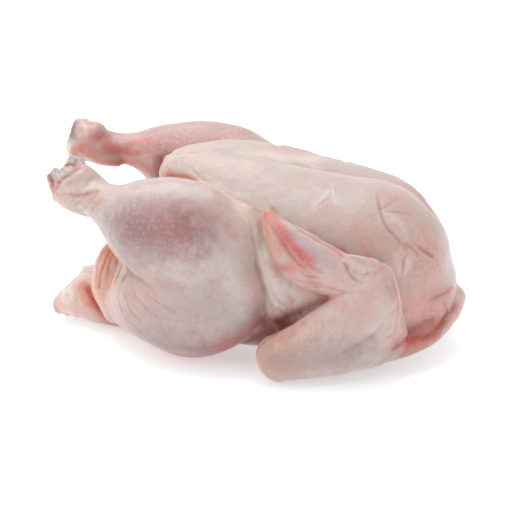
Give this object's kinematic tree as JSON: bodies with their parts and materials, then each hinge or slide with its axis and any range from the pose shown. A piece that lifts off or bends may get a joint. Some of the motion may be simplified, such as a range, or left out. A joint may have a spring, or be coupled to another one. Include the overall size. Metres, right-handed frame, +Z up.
{
  "type": "whole raw turkey",
  "caption": "Whole raw plucked and drawn bird lying on its back, breast up, wings folded at its sides, drumsticks pointing back and up, open body cavity.",
  "frame": {"origin": "on the table, under the middle of the bird's bounding box", "axes": "+X along the body towards the neck end, +Y to the bird's left side, +Z up through the breast"},
  "size_m": [0.4247, 0.2802, 0.199],
  "materials": {
    "raw_skin": "moist raw poultry skin, pale pink with cream fat, mottled, soft sheen"
  },
  "bodies": {
    "root": {"turkey": "raw_skin"}
  },
  "joints": []
}
